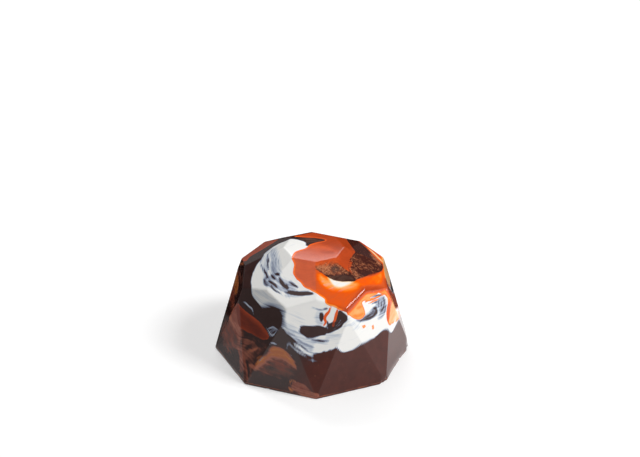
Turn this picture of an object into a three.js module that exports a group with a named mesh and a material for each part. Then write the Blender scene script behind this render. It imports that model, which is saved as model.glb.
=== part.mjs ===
// A moulded chocolate praline cut like a gem: eight-sided, solid, resting on its flat back.
// Millimetres, +Z up. The origin is the middle of the back, and base corner 0 points along -Y.
import * as THREE from "three";
import { ConvexGeometry } from "three/addons/geometries/ConvexGeometry.js";

// Driving dimensions.
const SIDES = 8;
const BASE_RADIUS = 15.0; // middle to a corner of the flat back: 30 mm across the corners
const CROWN_RADIUS = 10.45; // middle to a crown corner, where a tall kite ends at its top
const CROWN_HEIGHT = 14.45;
const WAIST_HEIGHT = 11.65; // tip of each base triangle
const SHOULDER_HEIGHT = 13.25; // lowest corner of each roof facet
const TABLE_HEIGHT = 17.6; // the flat top, and so the height of the whole praline
const EDGE_BAND = 0.15; // how far the softened edge reaches into the facet on either side of it

const HALF_STEP = Math.PI / SIDES;

// The distance from the axis, half a step round from a crown corner, of a kite's plane at a height.
function kiteRadius(height) {
  const lean = (BASE_RADIUS - CROWN_RADIUS) / CROWN_HEIGHT;
  return (BASE_RADIUS - lean * height) / Math.cos(HALF_STEP);
}

// Radius of the table's corners: the roof facet runs straight on from its shoulder through the crown edge.
function tableRadius() {
  const shoulder = kiteRadius(SHOULDER_HEIGHT);
  const crownEdge = CROWN_RADIUS * Math.cos(HALF_STEP);
  const slope = (crownEdge - shoulder) / (CROWN_HEIGHT - SHOULDER_HEIGHT);
  return (shoulder + slope * (TABLE_HEIGHT - SHOULDER_HEIGHT)) / Math.cos(HALF_STEP);
}

// A corner of the gem. Turn counts steps round the axis from -Y towards +X; halves are allowed.
function corner(radius, height, turn) {
  const angle = 2 * HALF_STEP * turn;
  return new THREE.Vector3(radius * Math.sin(angle), -radius * Math.cos(angle), height);
}

const base = (turn) => corner(BASE_RADIUS, 0, turn);
const waist = (turn) => corner(kiteRadius(WAIST_HEIGHT), WAIST_HEIGHT, turn);
const shoulder = (turn) => corner(kiteRadius(SHOULDER_HEIGHT), SHOULDER_HEIGHT, turn);
const crown = (turn) => corner(CROWN_RADIUS, CROWN_HEIGHT, turn);
const table = (turn) => corner(tableRadius(), TABLE_HEIGHT, turn);

// The flat facets, each a ring of corners: three on every side, then the back and the table.
function facets() {
  const all = [];
  const turns = [...Array(SIDES).keys()];
  for (const k of turns) {
    all.push([base(k), base(k + 1), waist(k + 0.5)]);
    all.push([
      base(k), waist(k + 0.5), shoulder(k + 0.5),
      crown(k), shoulder(k - 0.5), waist(k - 0.5),
    ]);
    all.push([shoulder(k + 0.5), crown(k + 1), table(k + 1), table(k), crown(k)]);
  }
  all.push(turns.map(base));
  all.push(turns.map(table));
  return all;
}

// The same facet drawn in by a band all round, in its own plane.
function drawnIn(facet, band) {
  return facet.map((point, i) => {
    const before = facet[(i + facet.length - 1) % facet.length].clone().sub(point).normalize();
    const after = facet[(i + 1) % facet.length].clone().sub(point).normalize();
    const sine = before.clone().cross(after).length();
    return before.add(after).multiplyScalar(band / sine).add(point);
  });
}

// The praline is the hull round its drawn-in facets, which leaves a narrow flat along every edge.
function pralineGeometry() {
  return new ConvexGeometry(facets().flatMap((facet) => drawnIn(facet, EDGE_BAND)));
}

// Dark chocolate with a tempered gloss.
const chocolate = new THREE.MeshStandardMaterial({ color: 0x5a3529, roughness: 0.25, metalness: 0 });

const praline = new THREE.Mesh(pralineGeometry(), chocolate);
praline.name = "praline";

const part = new THREE.Group();
part.add(praline);

export default part;
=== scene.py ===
# %% [markdown]
# # A chocolate praline cut like a gem
# The real thing is cast in a hard, polished mould. The maker first brushes coloured cocoa butter into the
# mould, then fills it with dark chocolate, and scrapes the open side level. What shows in the end is one
# smooth skin: eight tall kites, eight triangles, eight roof facets and a flat table, all with soft edges.
# This lesson computes that skin as one closed mesh, works out where each colour was brushed, and hands both
# to one glossy material.

import bmesh
import bpy
import numpy as np
from mathutils import Matrix, Vector


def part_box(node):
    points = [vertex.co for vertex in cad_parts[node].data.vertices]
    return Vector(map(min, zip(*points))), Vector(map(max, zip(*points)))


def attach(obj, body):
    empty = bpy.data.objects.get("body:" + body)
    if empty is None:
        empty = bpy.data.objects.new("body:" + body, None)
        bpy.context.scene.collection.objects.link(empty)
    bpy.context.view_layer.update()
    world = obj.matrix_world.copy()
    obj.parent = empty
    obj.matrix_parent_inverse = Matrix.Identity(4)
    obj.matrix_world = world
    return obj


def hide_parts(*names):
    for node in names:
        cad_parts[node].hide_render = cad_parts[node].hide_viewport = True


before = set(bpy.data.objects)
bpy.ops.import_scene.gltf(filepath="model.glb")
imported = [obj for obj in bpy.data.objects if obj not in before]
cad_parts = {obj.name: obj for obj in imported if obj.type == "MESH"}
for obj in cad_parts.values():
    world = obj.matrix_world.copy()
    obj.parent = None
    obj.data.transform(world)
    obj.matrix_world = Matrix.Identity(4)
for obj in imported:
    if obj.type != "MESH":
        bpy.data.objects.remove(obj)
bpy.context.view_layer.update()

# %% [markdown]
# ## The driving sizes
# A gem like this needs only the radius and height of five rings of corners: base, waist, shoulder, crown and
# table. All else follows from them. They could be read from the frame's mesh, but named sizes say what each
# one is. The frame is used to check them. Everything is worked out in millimetres and turned to metres last.

# %% Sizes of the gem, in millimetres
MM = 0.001
SIDES = 8
HALF_STEP = np.pi / SIDES
BASE_RADIUS = 15.0
CROWN_RADIUS = 10.45
CROWN_HEIGHT = 14.45
WAIST_HEIGHT = 11.65
SHOULDER_HEIGHT = 13.25
TABLE_HEIGHT = 17.6


def kite_radius(height):
    """Distance from the axis, half a step round from a kite's middle, of the kite's plane at a height."""
    lean = (BASE_RADIUS - CROWN_RADIUS) / CROWN_HEIGHT
    return (BASE_RADIUS - lean * height) / np.cos(HALF_STEP)


WAIST_RADIUS = kite_radius(WAIST_HEIGHT)
SHOULDER_RADIUS = kite_radius(SHOULDER_HEIGHT)
ROOF_RUN = (SHOULDER_RADIUS - CROWN_RADIUS * np.cos(HALF_STEP)) / (CROWN_HEIGHT - SHOULDER_HEIGHT)
TABLE_RADIUS = (SHOULDER_RADIUS - ROOF_RUN * (TABLE_HEIGHT - SHOULDER_HEIGHT)) / np.cos(HALF_STEP)
_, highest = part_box("praline")
print(f"table radius {TABLE_RADIUS:.3f} mm; frame height {highest.z / MM:.2f} mm, ours {TABLE_HEIGHT} mm")

# %% [markdown]
# ## The camera
# The picture was taken from a little above, with a long lens from close by, so the praline hardly tapers.
# A camera can be aimed by eye, but this one was fitted: it stands on a line through the point it looks at,
# given by an azimuth, an elevation and a distance, and is rolled by one degree.

# %% Camera
LENS_MM = 139.5
SENSOR_MM = 36.0
NEAREST_SEEN = 10.0
CAMERA_DISTANCE = 414.0
CAMERA_AZIMUTH = np.radians(-2.745)
CAMERA_ELEVATION = np.radians(28.70)
CAMERA_ROLL = np.radians(0.987)
AIM = Vector((2.64, 37.86, 0.0))


def direction(azimuth, elevation):
    """Unit vector towards an azimuth, counted from -Y towards +X, and an elevation above the floor."""
    flat = np.cos(elevation)
    return Vector((np.sin(azimuth) * flat, -np.cos(azimuth) * flat, np.sin(elevation)))


def looking_back(target, azimuth, elevation, distance, roll=0.0):
    """World matrix of something that stands off from target in that direction and faces it."""
    back = direction(azimuth, elevation)
    turn = (-back).to_track_quat("-Z", "Y").to_matrix().to_4x4()
    place = Matrix.Translation((target + back * distance) * MM)
    return place @ turn @ Matrix.Rotation(roll, 4, "Z")


camera = bpy.data.objects.new("camera", bpy.data.cameras.new("camera"))
camera.data.lens = LENS_MM
camera.data.sensor_width = SENSOR_MM
camera.data.clip_start = NEAREST_SEEN * MM
camera.matrix_world = looking_back(AIM, CAMERA_AZIMUTH, CAMERA_ELEVATION, CAMERA_DISTANCE, CAMERA_ROLL)
bpy.context.scene.collection.objects.link(camera)
bpy.context.scene.camera = camera
bpy.context.scene.view_settings.view_transform = "Standard"
print("camera at", [round(v / MM, 1) for v in camera.location])

# %% [markdown]
# ## One helper for every node
# Materials and the world are trees of nodes. One small function adds a node, sets its properties, and fills
# or links its inputs, so that a material reads as a list of what it mixes. Colours are written as they look
# on a screen (sRGB hex) and turned to the linear values that the renderer works with.


# %% Node helper and colours
def linear(hex_colour, alpha=1.0):
    """sRGB hex to linear RGBA: each channel is divided by 12.92 if dark, else raised to the power 2.4."""
    channels = np.array([int(hex_colour[i:i + 2], 16) / 255 for i in (1, 3, 5)])
    bright = ((channels + 0.055) / 1.055) ** 2.4
    return (*np.where(channels <= 0.04045, channels / 12.92, bright).tolist(), alpha)


def add(tree, kind, inputs=None, stops=None, **settings):
    """Adds one node. Each input is a value or another node's output; stops fill a colour ramp."""
    made = tree.nodes.new("ShaderNode" + kind)
    for name, value in settings.items():
        setattr(made, name, value)
    for name, value in (inputs or {}).items():
        if isinstance(value, bpy.types.NodeSocket):
            tree.links.new(value, made.inputs[name])
        else:
            made.inputs[name].default_value = value
    for i, (position, colour) in enumerate(stops or []):
        stop = made.color_ramp.elements[i] if i < 2 else made.color_ramp.elements.new(position)
        stop.position = position
        stop.color = linear(colour)
    return made


# %% [markdown]
# ## The floor and the light
# The praline stands on plain white, so bright that only the dark just beside it is seen as a shadow. The
# light is soft and comes from the right, high up: right-hand facets are half as bright again as front ones
# and three times as bright as left ones. One lamp gives that, with a wide weak one high on the left and two
# behind, in a room that is almost dark. The white floor matters as much, because every steep facet mirrors
# it. A glossy dark thing would mirror white from all sides and look pale, so cards stand round it, as in a
# studio: black ones keep a facet dark, and grey ones lift it a little. They are seen only in its gloss and
# throw no shadow.

# %% Floor
FLOOR_SIZE = 4000.0
FLOOR_WHITE = "#d2d2d2"
FLOOR_GLOW = 0.42
FLOOR_CORNERS = [(-0.5, -0.5, 0), (0.5, -0.5, 0), (0.5, 0.5, 0), (-0.5, 0.5, 0)]

floor_mesh = bpy.data.meshes.new("floor")
floor_mesh.from_pydata((np.array(FLOOR_CORNERS) * FLOOR_SIZE * MM).tolist(), [], [(0, 1, 2, 3)])
floor = bpy.data.objects.new("floor", floor_mesh)
bpy.context.scene.collection.objects.link(floor)

paper = bpy.data.materials.new("white_paper_sweep")
paper.use_nodes = True
paper_shader = paper.node_tree.nodes["Principled BSDF"]
paper_shader.inputs["Base Color"].default_value = linear(FLOOR_WHITE)
paper_shader.inputs["Roughness"].default_value = 0.9
paper_shader.inputs["Specular IOR Level"].default_value = 0.1
paper_shader.inputs["Emission Color"].default_value = (1.0, 1.0, 1.0, 1.0)
paper_shader.inputs["Emission Strength"].default_value = FLOOR_GLOW
floor_mesh.materials.append(paper)
print(f"floor {FLOOR_SIZE * MM:.0f} m wide")

# %% Lamps and a dim room
# Azimuth and elevation in degrees, distance and width in millimetres.
LAMPS = {
    "key": {"azimuth": 70, "elevation": 46, "distance": 420, "size": 160, "watts": 1.53},
    "upper_left": {"azimuth": -130, "elevation": 66, "distance": 450, "size": 340, "watts": 0.36},
    "rear_left": {"azimuth": -150, "elevation": 45, "distance": 450, "size": 90, "watts": 0.46},
    "behind": {"azimuth": 178, "elevation": 38, "distance": 450, "size": 220, "watts": 0.44},
}
ROOM_STRENGTH = 0.06


def softbox(name, azimuth, elevation, distance, size, watts):
    """A square area lamp that stands off from the praline and faces it."""
    data = bpy.data.lights.new(name, "AREA")
    data.size = size * MM
    data.energy = watts
    lamp = bpy.data.objects.new(name, data)
    middle = Vector((0, 0, TABLE_HEIGHT / 2))
    lamp.matrix_world = looking_back(middle, np.radians(azimuth), np.radians(elevation), distance)
    bpy.context.scene.collection.objects.link(lamp)
    return lamp


lamps = [softbox(name, **facts) for name, facts in LAMPS.items()]
world = bpy.data.worlds.new("studio")
world.use_nodes = True
bpy.context.scene.world = world
world.node_tree.nodes["Background"].inputs["Color"].default_value = (1.0, 1.0, 1.0, 1.0)
world.node_tree.nodes["Background"].inputs["Strength"].default_value = ROOM_STRENGTH
print("lamps:", [lamp.name for lamp in lamps])

# %% Cards that only gloss shows
# Each card has four corners in millimetres and a brightness, from 0 for black to 1 for white.
CARDS = {
    "card_right": ([(9, 13, 0), (44, 13, 0), (44, 13, 17), (9, 13, 17)], 0.05),
    "card_back": ([(-9, 30, 0), (46, 30, 0), (46, 30, 35.4), (-9, 30, 35.4)], 0.0),
    "card_back_left": ([(-60, 31, 0), (-8, 31, 0), (-8, 31, 30), (-60, 31, 30)], 0.20),
    "card_left": ([(-60, 12, 0), (-8, 12, 0), (-8, 12, 12), (-60, 12, 12)], 0.0),
    "card_far_left": ([(-45, -70, 0), (-45, 12, 0), (-45, 12, 30), (-45, -70, 30)], 0.25),
    "card_left_floor": ([(-15.3, 0.5, 0.05), (-10.9, -11.0, 0.05), (-60, -45, 0.05), (-60, 30, 0.05)], 0.35),
    "card_left_floor_behind": (
        [(-15.2, 0.4, 0.05), (-60, 0.4, 0.05), (-60, 31, 0.05), (-10.8, 11.5, 0.05)], 0.06),
    "card_front": ([(-150, -220, 0), (150, -220, 0), (150, -220, 70), (-150, -220, 70)], 0.55),
}


def card(name, corners, brightness):
    """A flat quad that glows evenly, or stays black, and that only the gloss of other things shows."""
    mesh = bpy.data.meshes.new(name)
    mesh.from_pydata((np.array(corners) * MM).tolist(), [], [(0, 1, 2, 3)])
    material = bpy.data.materials.new(name)
    material.use_nodes = True
    shader = material.node_tree.nodes["Principled BSDF"]
    shader.inputs["Base Color"].default_value = (0.0, 0.0, 0.0, 1.0)
    shader.inputs["Roughness"].default_value = 1.0
    shader.inputs["Specular IOR Level"].default_value = 0.0
    shader.inputs["Emission Color"].default_value = (1.0, 1.0, 1.0, 1.0)
    shader.inputs["Emission Strength"].default_value = brightness
    mesh.materials.append(material)
    made = bpy.data.objects.new(name, mesh)
    made.visible_camera = False
    made.visible_diffuse = False
    made.visible_shadow = False
    bpy.context.scene.collection.objects.link(made)
    return made


cards = [card(name, *facts) for name, facts in CARDS.items()]
print("cards:", [made.name for made in cards])

# %% [markdown]
# ## The sharp gem as a profile carried round the axis
# Cut the gem by a plane through its axis and the outline is a few straight runs: table, roof, kite,
# triangle, and back along the flat underside. The bends between them move in and out with the azimuth. A
# round sweep of that outline is the whole surface, and because the rows of the grid follow the bends and the
# columns follow the other edges, each facet edge lies on a line of the mesh.


# %% Profile of the gem at any azimuth
def along_edge(near, far, turn):
    """Share of the way along an edge, seen from above, at which its azimuth is turn away from its near end.

    The edge runs from radius near to radius far, half a step round. The share t solves
    tan(turn) = t far sin(half) / (near + t (far cos(half) - near))."""
    slope = np.tan(turn)
    return slope * near / (far * np.sin(HALF_STEP) + slope * (near - far * np.cos(HALF_STEP)))


def edge_point(near, far, near_height, far_height, turn):
    """Radius and height of the point of that edge."""
    share = along_edge(near, far, turn)
    forward = near + share * (far * np.cos(HALF_STEP) - near)
    sideways = share * far * np.sin(HALF_STEP)
    return np.hypot(forward, sideways), near_height + share * (far_height - near_height)


def bends(azimuth):
    """Radii and heights of table middle, table edge, crown line, waist line, base edge and back middle."""
    turn = np.abs((azimuth + HALF_STEP) % (2 * HALF_STEP) - HALF_STEP)
    straight = np.cos(HALF_STEP) / np.cos(HALF_STEP - turn)
    crown = edge_point(CROWN_RADIUS, SHOULDER_RADIUS, CROWN_HEIGHT, SHOULDER_HEIGHT, turn)
    waist = edge_point(BASE_RADIUS, WAIST_RADIUS, 0.0, WAIST_HEIGHT, turn)
    level = 0 * azimuth
    radii = [level, TABLE_RADIUS * straight, crown[0], waist[0], BASE_RADIUS * straight, level]
    heights = [level + TABLE_HEIGHT, level + TABLE_HEIGHT, crown[1], waist[1], level, level]
    return np.stack(radii), np.stack(heights)


# %% [markdown]
# ## Where the grid lines go
# A soft edge reaches only about a fifth of a millimetre into a facet, so rows and columns crowd there and
# spread out over the facets. The front half has the finest brushwork and gets more columns than the back.

# %% Rows and columns of the grid
# The crowded rows' distances from an edge, in millimetres, and the number of rows on each run.
EDGE_STEPS = np.array([0.0, 0.05, 0.11, 0.20, 0.32])
RUN_ROWS = {"table": 22, "roof": 40, "kite": 84, "triangle": 54, "back": 12}
# Columns in each half step round the axis.
FRONT_COLUMNS = 30
BACK_COLUMNS = 26
COLUMN_CROWDING = 0.45


def column_azimuths():
    """Azimuths of the columns: each half step is split evenly, then drawn towards both its ends.

    Inside a half step the place of column t is t - crowding sin(2 pi t) / (2 pi)."""
    parts = []
    for k in range(2 * SIDES):
        start = (k - SIDES) * HALF_STEP
        count = FRONT_COLUMNS if SIDES // 2 <= k < 3 * SIDES // 2 else BACK_COLUMNS
        t = np.arange(count) / count
        parts.append(start + HALF_STEP * (t - COLUMN_CROWDING * np.sin(2 * np.pi * t) / (2 * np.pi)))
    return np.concatenate(parts)


def stations(length, rows, crowd_start, crowd_end):
    """Distances from 0 to length in that many rows, crowded at the ends asked for. One column per length."""
    near = np.minimum(EDGE_STEPS[:, None], length * np.arange(len(EDGE_STEPS))[:, None] / rows)
    first = near if crowd_start else near[:1]
    last = length - near[::-1] if crowd_end else length - near[:1]
    count = rows + 3 - len(first) - len(last)
    share = np.linspace(0, 1, count)[1:-1, None]
    between = first[-1] + share * (last[0] - first[-1])
    return np.concatenate([first, between, last])


AZIMUTH = column_azimuths()
bend_radius, bend_height = bends(AZIMUTH)
runs = np.hypot(np.diff(bend_radius, axis=0), np.diff(bend_height, axis=0))
# Whether the rows crowd at the start and at the end of each run.
CROWDED = [(False, True), (True, True), (True, True), (True, True), (True, False)]

radius_rows, height_rows, run_rows = [], [], []
for i, (rows, crowd) in enumerate(zip(RUN_ROWS.values(), CROWDED)):
    walked = stations(runs[i], rows, *crowd)
    share = walked / np.maximum(runs[i], 1e-9)
    keep = slice(0 if i == 0 else 1, None)
    radius_rows.append((bend_radius[i] + share * (bend_radius[i + 1] - bend_radius[i]))[keep])
    height_rows.append((bend_height[i] + share * (bend_height[i + 1] - bend_height[i]))[keep])
    run_rows.append((runs[:i].sum(0) + walked)[keep])
RADIUS, HEIGHT, RUN = (np.concatenate(part) for part in (radius_rows, height_rows, run_rows))
ROWS, COLUMNS = RADIUS.shape
BASE_ROW = sum(RUN_ROWS[name] for name in ("table", "roof", "kite", "triangle"))
print(f"grid of {ROWS} rows and {COLUMNS} columns")
print(f"the profile is {RUN[BASE_ROW].max():.2f} mm long down to the base")

# %% [markdown]
# ## Soft edges
# A mould is polished, so its edges are rounded, here with a radius of a little over half a millimetre. A
# Bevel modifier could do it, but it struggles where several edges meet at flat angles. Instead each point is
# dropped onto the gem shrunk by the radius, and then set back from there by exactly that radius: inside a
# facet this changes nothing, and near an edge or a corner it gives a true cylinder or ball.

# %% The moulded planes and the rounding
EDGE_RADIUS = 0.60
SWEEPS = 50


def facet_plane(turns, radius, height, run, rise):
    """Normals and distances of eight like facets.

    The facet at azimuth a goes through the given radius and height, and climbs rise for each run inwards."""
    lean = np.arctan2(run, rise)
    azimuth = turns * 2 * HALF_STEP
    flat = np.cos(lean)
    normals = np.stack([np.sin(azimuth) * flat, -np.cos(azimuth) * flat, 0 * azimuth + np.sin(lean)], 1)
    return normals, 0 * azimuth + radius * flat + height * np.sin(lean)


def moulded_planes():
    """All 25 planes of the mould: kites, triangles, roof facets and the table.

    A point is inside a plane if its product with the normal is less than the plane's distance."""
    corners = np.arange(SIDES)
    base_middle = BASE_RADIUS * np.cos(HALF_STEP)
    parts = [
        facet_plane(corners, BASE_RADIUS, 0, BASE_RADIUS - CROWN_RADIUS, CROWN_HEIGHT),
        facet_plane(corners + 0.5, base_middle, 0, base_middle - WAIST_RADIUS, WAIST_HEIGHT),
        facet_plane(corners + 0.5, SHOULDER_RADIUS, SHOULDER_HEIGHT, ROOF_RUN, 1.0),
        (np.array([[0.0, 0.0, 1.0]]), np.array([TABLE_HEIGHT])),
    ]
    return np.concatenate([p[0] for p in parts]), np.concatenate([p[1] for p in parts])


def soften(points):
    """Rounded points and the direction in which the surface faces there.

    Each point is projected onto the gem inset by the edge radius, by Hildreth's method: every plane in turn
    pushes the point back inside, and gives back what an earlier sweep pushed too far."""
    normals, distances = moulded_planes()
    inner = points.copy()
    pushed = np.zeros((len(normals), len(points)))
    for _ in range(SWEEPS):
        for i, normal in enumerate(normals):
            step = np.minimum(pushed[i], distances[i] - EDGE_RADIUS - inner @ normal)
            inner += step[:, None] * normal
            pushed[i] -= step
    outward = points - inner
    outward /= np.linalg.norm(outward, axis=1, keepdims=True)
    return inner + EDGE_RADIUS * outward, outward


def around(radius, azimuth, height):
    """Cylinder coordinates to points, azimuth 0 on -Y."""
    return np.stack([radius * np.sin(azimuth), -radius * np.cos(azimuth), height], -1)


sharp = around(RADIUS, AZIMUTH[None, :], HEIGHT)
moulded = sharp[:BASE_ROW + 1].reshape(-1, 3)
rounded, facing = soften(moulded)
print(f"rounding moved points by up to {np.linalg.norm(rounded - moulded, axis=1).max():.3f} mm")

# %% [markdown]
# ## Small faults that make it real
# Chocolate shrinks as it sets, so no facet is perfectly flat: a swell of about a hundredth of a millimetre
# bends the reflections. The scraped rim is the roughest place: a fine step runs round it, and two corners on
# the right are worn and chipped. All of it is worked out as distances added to the smooth skin.

# %% Swell of the facets
SWELL = 0.010
SWELL_SIZE = 6.0


def waves(points, size, seed, count=18):
    """Smooth seeded unevenness, about -1 to 1: a sum of plane waves with lengths near size."""
    draw = np.random.default_rng(seed)
    headings = draw.normal(size=(count, points.shape[-1]))
    headings /= np.linalg.norm(headings, axis=1, keepdims=True)
    lengths = size * draw.uniform(0.7, 1.5, count)
    phases = draw.uniform(0, 2 * np.pi, count)
    total = 0.0
    for heading, length, phase in zip(headings, lengths, phases):
        total = total + np.sin(points @ heading * (2 * np.pi / length) + phase)
    return total / np.sqrt(count)


swell = SWELL * waves(moulded, SWELL_SIZE, seed=3)
rounded = rounded + facing * swell[:, None]
print(f"the facets swell by {swell.min():.3f} to {swell.max():.3f} mm")

# %% Scraped rim with its worn corners
STEP_HEIGHT = 0.32
STEP_WIDTH = 0.07
STEP_DEPTH = 0.05
RAGGED_SIZE = 2.2
RAGGED_SHARE = 0.15
SCRAPED_DEPTH = 0.02
SCRAPED_HEIGHT = 0.25
# Each worn place: azimuth and half width in degrees, depth and height in millimetres.
WORN = [
    (45.0, 2.4, 0.30, 0.9),
    (66.0, 17.0, 0.20, 0.8),
    (90.0, 4.0, 0.30, 1.4),
    (74.0, 1.2, 0.22, 0.35),
    (-31.0, 1.0, 0.10, 0.25),
    (131.0, 2.0, 0.16, 0.5),
    (-112.0, 2.6, 0.18, 0.5),
    (170.0, 1.4, 0.12, 0.3),
]


def rim_loss(azimuth, height):
    """How far the skin lies inside the gem near the rim.

    A worn place is its depth times exp(-(turn / width)^4 - (height / tall)^2). The scraped back adds a fine
    groove, a bell curve over the height that wanders a little, and a ragged loss at the very edge."""
    loss = 0 * height + 0 * azimuth
    for middle, width, depth, tall in WORN:
        away = (np.degrees(azimuth) - middle + 180) % 360 - 180
        loss = loss + depth * np.exp(-(away / width) ** 4 - (height / tall) ** 2)
    ragged = waves(around(BASE_RADIUS, azimuth, 0 * azimuth), RAGGED_SIZE, seed=11)
    step = STEP_HEIGHT * (1 + RAGGED_SHARE * ragged)
    loss = loss + STEP_DEPTH * np.exp(-((height - step) / STEP_WIDTH) ** 2)
    return loss + SCRAPED_DEPTH * (1 + ragged) * np.exp(-(height / SCRAPED_HEIGHT) ** 2)


skin = rounded.reshape(BASE_ROW + 1, COLUMNS, 3)
skin_radius = np.hypot(skin[..., 0], skin[..., 1]) - rim_loss(AZIMUTH[None, :], skin[..., 2])
skin_height = skin[..., 2]
base_radius = skin_radius[BASE_ROW]
print(f"the rim's corners and edges lie {base_radius.min():.2f} to {base_radius.max():.2f} mm from the axis")

# %% [markdown]
# ## The flat back
# Its rows close the mesh, from the rim to the middle at height zero. A tiny arc joins it to the sides: each
# point near the rim is set at the arc's radius from the arc's centre.


# %% Back and rim arc
RIM_RADIUS = 0.18
ARC_INSET = 1.2 * RIM_RADIUS
NEAR_RIM = 0.6

back_radius = base_radius * RADIUS[BASE_ROW + 1:] / RADIUS[BASE_ROW]
radius = np.concatenate([skin_radius, back_radius])
height = np.concatenate([skin_height, 0 * back_radius])
centre_radius = base_radius - ARC_INSET
near_rim = (np.hypot(radius - base_radius, height) < NEAR_RIM) & (height < RIM_RADIUS)
on_arc = near_rim & (radius > centre_radius)
away = np.maximum(np.hypot(radius - centre_radius, height - RIM_RADIUS), 1e-9)
radius_arc = centre_radius + (radius - centre_radius) * RIM_RADIUS / away
height_arc = RIM_RADIUS + (height - RIM_RADIUS) * RIM_RADIUS / away
radius = np.where(on_arc, radius_arc, radius)
height = np.where(on_arc, height_arc, height)
surface = around(radius, AZIMUTH[None, :], height)
print(f"widest {radius.max():.2f} mm from the axis, from {height.min():.3f} to {height.max():.2f} mm high")


# %% Turn the grid into one closed mesh
def grid_faces(rows, columns):
    """Quads between neighbouring rows and columns, closed round the axis, facing out."""
    lower = np.arange(rows - 1)[:, None] * columns
    here = np.arange(columns)[None, :]
    after = (here + 1) % columns
    quads = np.stack([lower + here, lower + columns + here, lower + columns + after, lower + after], -1)
    return quads.reshape(-1, 4)


def closed_mesh(name, points, faces, attributes):
    """A mesh object with its float and vector attributes, in metres, smooth shaded."""
    mesh = bpy.data.meshes.new(name)
    mesh.from_pydata((points * MM).tolist(), [], faces.tolist())
    for title, values in attributes.items():
        kind, field = ("FLOAT_VECTOR", "vector") if values.ndim == 2 else ("FLOAT", "value")
        mesh.attributes.new(title, kind, "POINT").data.foreach_set(field, values.astype(np.float32).ravel())
    mesh.polygons.foreach_set("use_smooth", np.ones(len(faces), bool))
    made = bpy.data.objects.new(name, mesh)
    bpy.context.scene.collection.objects.link(made)
    return made


# %% [markdown]
# ## A map for the painter
# Brush marks are easiest to place on a flat map. Take the distance walked from the middle of the table down
# the profile as the distance from the map's middle, and keep the azimuth: that unrolls the whole skin into a
# disc, with the front facing down. A shape drawn there in millimetres lands on the gem without a seam.

# %% Map coordinates and the way the brush went
MAP = np.stack([RUN * np.sin(AZIMUTH), -RUN * np.cos(AZIMUTH)], -1).reshape(-1, 2)
SWIRL_LEFT = np.array([-1.0, -3.0])
SWIRL_LOW = np.array([1.5, -4.0])
SWIRL_RIGHT = np.array([3.0, -1.5])
SWIRL_REACH = 8.0
BRISTLE_WIDTH = 0.34
BRISTLE_LENGTH = 4.5
# From where to where on the map one swirl gives way to the next, in millimetres.
LOW_SWIRL = (9.0, 14.0)
RIGHT_SWIRL = (-1.0, 5.0)
BEHIND = (3.0, 8.0)


def rise(value, start, end):
    """Smooth step from 0 at start to 1 at end: 3 t squared minus 2 t cubed."""
    t = np.clip((value - start) / (end - start), 0, 1)
    return t * t * (3 - 2 * t)


def swirl(centre):
    """Coordinates of the bristles for strokes that circle a centre: slow along them, fast across.

    Along the stroke it is the direction from the centre times the usual reach over a mark's length, and
    across it the distance from the centre over a bristle's width."""
    arm = MAP - centre
    reach = np.linalg.norm(arm, axis=1)
    circle = arm / np.maximum(reach, 1e-6)[:, None] * (SWIRL_REACH / BRISTLE_LENGTH)
    return np.column_stack([circle, reach / BRISTLE_WIDTH])


low_down = rise(-MAP[:, 1], *LOW_SWIRL)[:, None]
to_right = rise(MAP[:, 0] + 0.5 * MAP[:, 1], *RIGHT_SWIRL)[:, None]
behind = rise(MAP[:, 1], *BEHIND)
bristle = swirl(SWIRL_LEFT) * (1 - low_down) + swirl(SWIRL_LOW) * low_down
bristle = bristle * (1 - to_right) + swirl(SWIRL_RIGHT) * to_right
print(f"map of {len(MAP)} points, {np.abs(MAP).max():.1f} mm from its middle to its edge")

# %% [markdown]
# ## Brushes
# Two kinds of mark are enough. A patch is a closed smooth outline, a stroke a smooth line with a width. For
# both, numpy gives each point of the skin its distance to the edge of the mark, positive inside. A distance
# becomes a load of paint from 0 to 1 over a soft edge. Marks are laid on, where the larger load counts, or
# lifted off again, as with a dry brush. The lists of marks below are points on the map, in millimetres.


# %% Smooth lines and the distance to them
FAR = 3.0


def smooth(points, closed, between=6):
    """Points along a Catmull-Rom curve through the given ones.

    From b to c it is b + ((c - a) t + (2a - 5b + 4c - d) t^2 + (3b - a - 3c + d) t^3) / 2."""
    p = np.asarray(points, float)
    if closed:
        p = np.concatenate([p[-1:], p, p[:2]])
    else:
        p = np.concatenate([2 * p[:1] - p[1:2], p, 2 * p[-1:] - p[-2:-1]])
    t = (np.arange(between) / between)[None, :, None]
    a, b, c, d = (q[:, None] for q in (p[:-3], p[1:-2], p[2:-1], p[3:]))
    square = 2 * a - 5 * b + 4 * c - d
    cube = 3 * b - a - 3 * c + d
    curve = (0.5 * (2 * b + (c - a) * t + square * t ** 2 + cube * t ** 3)).reshape(-1, 2)
    return curve if closed else np.concatenate([curve, p[-2:-1]])


def near_points(curve, margin):
    """Which points of the skin lie in the curve's box, widened by a margin."""
    return np.all((MAP > curve.min(0) - margin) & (MAP < curve.max(0) + margin), axis=1)


def distance_to(curve, where, closed):
    """Distance from map points to a chain of short straight pieces, and the place along it, 0 to 1."""
    starts = curve
    ends = np.roll(curve, -1, axis=0) if closed else curve[1:]
    best = np.full(len(where), np.inf)
    place = np.zeros(len(where))
    for i, end in enumerate(ends):
        start = starts[i]
        step = end - start
        share = np.clip(((where - start) @ step) / max(step @ step, 1e-12), 0, 1)
        gap = np.hypot(*(where - start - share[:, None] * step).T)
        closer = gap < best
        best[closer] = gap[closer]
        place[closer] = (i + share[closer]) / len(ends)
    return best, place


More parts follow.
